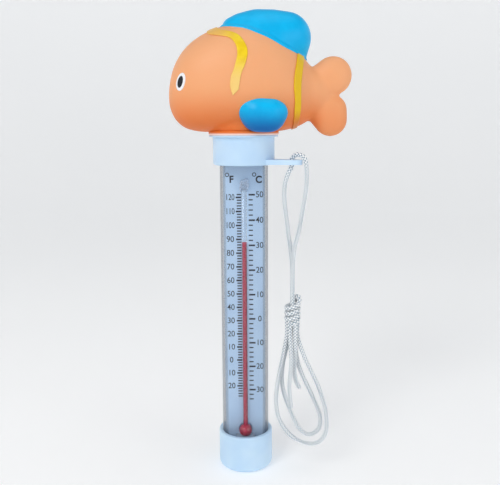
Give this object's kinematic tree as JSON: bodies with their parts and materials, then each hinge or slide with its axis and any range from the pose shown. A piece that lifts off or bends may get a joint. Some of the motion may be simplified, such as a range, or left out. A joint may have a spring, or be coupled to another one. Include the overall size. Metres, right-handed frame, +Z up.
{
  "type": "floating pool thermometer",
  "caption": "Floating pool thermometer: a fish-shaped float on a clear tube that holds a liquid column and its scale, with a looped braided cord.",
  "frame": {"origin": "centre of the bottom cap's flat base", "axes": "+Z up along the tube, -X towards the fish's head, -Y towards the viewer of the scale"},
  "size_m": [0.0882, 0.05, 0.2313],
  "materials": {
    "cap_plastic": "smooth moulded",
    "seal_rubber": "matte silicone",
    "ballast_steel": "turned",
    "pad_foam": "open-cell foam",
    "tube_plastic": "clear, polished",
    "card": "printed, satin",
    "stem_glass": "clear",
    "glue": "clear glue",
    "liquid": "red liquid",
    "float_vinyl": "soft satin vinyl",
    "fin_vinyl": "painted vinyl",
    "stripe_vinyl": "painted vinyl",
    "eye_white": "printed",
    "eye_black": "printed",
    "cord": "round braid"
  },
  "bodies": {
    "casing": {"bottom_cap": "cap_plastic", "bottom_seal": "seal_rubber", "ballast_weight": "ballast_steel", "bulb_pad": "pad_foam", "tube": "tube_plastic", "top_seal": "seal_rubber", "top_cap": "cap_plastic", "scale_card": "card", "glass_stem": "stem_glass", "stem_glue": "glue", "bulb_liquid": "liquid", "liquid_column": "liquid", "float_shell": "float_vinyl", "dorsal_fin": "fin_vinyl", "pectoral_fin_left": "fin_vinyl", "pectoral_fin_right": "fin_vinyl", "front_stripe": "stripe_vinyl", "rear_stripe": "stripe_vinyl", "eye_white_left": "eye_white", "eye_white_right": "eye_white", "pupil_left": "eye_black", "pupil_right": "eye_black"},
    "column_surface": {"column_tip": "liquid"},
    "tether": {"tether_left_strand": "cord", "tether_right_strand": "cord", "tether_outer_loop": "cord", "tether_inner_loop": "cord", "tether_front_tail": "cord", "tether_back_tail": "cord", "tether_knot": "cord"}
  },
  "joints": [
    {"name": "column_level", "type": "slide", "parent": "casing", "child": "column_surface", "axis": [0, 0, 1], "range_m": [-0.079, 0.0234], "deforming": ["liquid_column"]},
    {"name": "tether_swing", "type": "hinge", "parent": "casing", "child": "tether", "pos_m": [0.02628, -0.01226, 0.1596], "axis": [-0.4226, -0.9063, 0], "range_deg": [-2, 75]}
  ]
}
